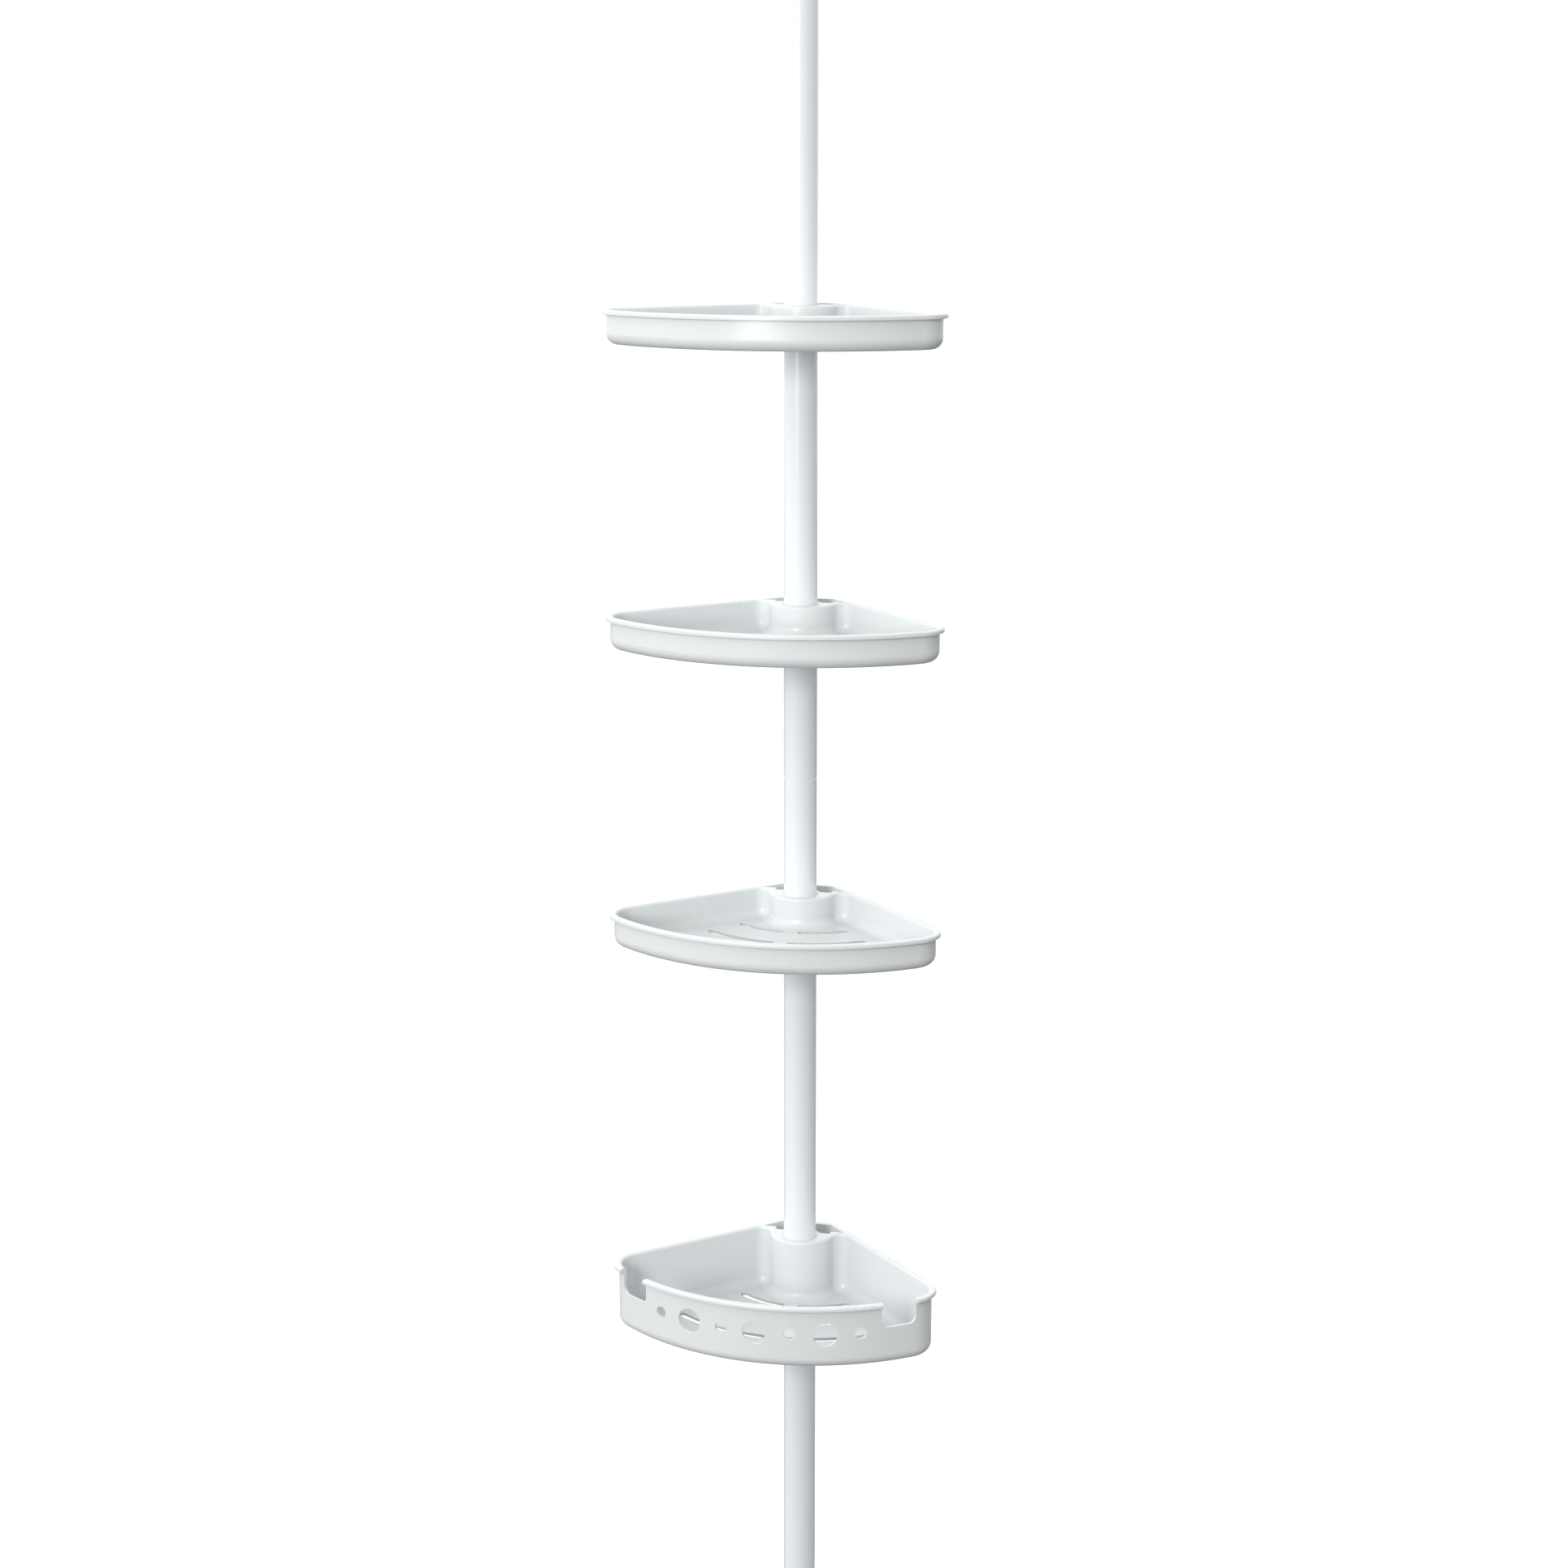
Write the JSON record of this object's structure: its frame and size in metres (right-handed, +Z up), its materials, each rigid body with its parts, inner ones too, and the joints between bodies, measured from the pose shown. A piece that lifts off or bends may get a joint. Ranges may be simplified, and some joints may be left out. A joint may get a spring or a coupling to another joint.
{
  "type": "shower caddy",
  "caption": "White corner shower caddy: quarter-round trays and a deeper pierced basket on a sprung floor-to-ceiling pole.",
  "frame": {"origin": "centre of the foot pad's underside, on the pole axis", "axes": "+Z up the pole; +Y towards the room corner; -Y is the curved front of the trays"},
  "size_m": [0.2526, 0.1764, 1.791],
  "materials": {
    "white_plastic": "moulded gloss",
    "sleeve_plastic": "matte",
    "plain_plastic": "matte",
    "white_paint": "gloss powder coat",
    "spring_steel": "drawn wire",
    "rubber": "soft matte"
  },
  "bodies": {
    "pole": {"foot_pad": "rubber", "foot_socket": "white_plastic", "lower_tube": "white_paint", "lower_middle_tube": "white_paint", "upper_middle_tube": "white_paint", "upper_tube": "white_paint", "collet": "white_plastic"},
    "lock": {"twist_ring": "white_plastic"},
    "extension": {"telescopic_tube": "white_paint", "glide_plug": "plain_plastic", "spring_seat": "plain_plastic", "tension_spring": "spring_steel", "stop_bush": "plain_plastic"},
    "cap": {"top_socket": "white_plastic", "top_pad": "rubber"},
    "grip_basket": {"sleeve_basket_front": "sleeve_plastic", "sleeve_basket_rear": "sleeve_plastic"},
    "shelf_basket": {"basket": "white_plastic"},
    "grip_low": {"sleeve_low_front": "sleeve_plastic", "sleeve_low_rear": "sleeve_plastic"},
    "shelf_low": {"tray_low": "white_plastic"},
    "grip_mid": {"sleeve_mid_front": "sleeve_plastic", "sleeve_mid_rear": "sleeve_plastic"},
    "shelf_mid": {"tray_mid": "white_plastic"},
    "grip_high": {"sleeve_high_front": "sleeve_plastic", "sleeve_high_rear": "sleeve_plastic"},
    "shelf_high": {"tray_high": "white_plastic"}
  },
  "joints": [
    {"name": "lock_twist", "type": "hinge", "parent": "pole", "child": "lock", "pos_m": [0, 0, 1.448], "axis": [0, 0, 1], "range_deg": [0, 90]},
    {"name": "telescope_slide", "type": "slide", "parent": "pole", "child": "extension", "axis": [0, 0, 1], "range_m": [-0.15, 0.06]},
    {"name": "spring_top", "type": "slide", "parent": "extension", "child": "cap", "axis": [0, 0, 1], "range_m": [-0.025, 0], "stiffness_N_per_m": 4000, "springref_m": 0.012, "deforming": ["tension_spring"]},
    {"name": "basket_height", "type": "slide", "parent": "pole", "child": "grip_basket", "axis": [0, 0, 1], "range_m": [-0.24, 0.15]},
    {"name": "basket_turn", "type": "hinge", "parent": "grip_basket", "child": "shelf_basket", "pos_m": [0, 0, 0.348], "axis": [0, 0, 1], "continuous": true},
    {"name": "low_height", "type": "slide", "parent": "pole", "child": "grip_low", "axis": [0, 0, 1], "range_m": [-0.09, 0.09]},
    {"name": "low_turn", "type": "hinge", "parent": "grip_low", "child": "shelf_low", "pos_m": [0, 0, 0.628], "axis": [0, 0, 1], "continuous": true},
    {"name": "mid_height", "type": "slide", "parent": "pole", "child": "grip_mid", "axis": [0, 0, 1], "range_m": [-0.09, 0.09]},
    {"name": "mid_turn", "type": "hinge", "parent": "grip_mid", "child": "shelf_mid", "pos_m": [0, 0, 0.854], "axis": [0, 0, 1], "continuous": true},
    {"name": "high_height", "type": "slide", "parent": "pole", "child": "grip_high", "axis": [0, 0, 1], "range_m": [-0.09, 0.28]},
    {"name": "high_turn", "type": "hinge", "parent": "grip_high", "child": "shelf_high", "pos_m": [0, 0, 1.076], "axis": [0, 0, 1], "continuous": true}
  ]
}
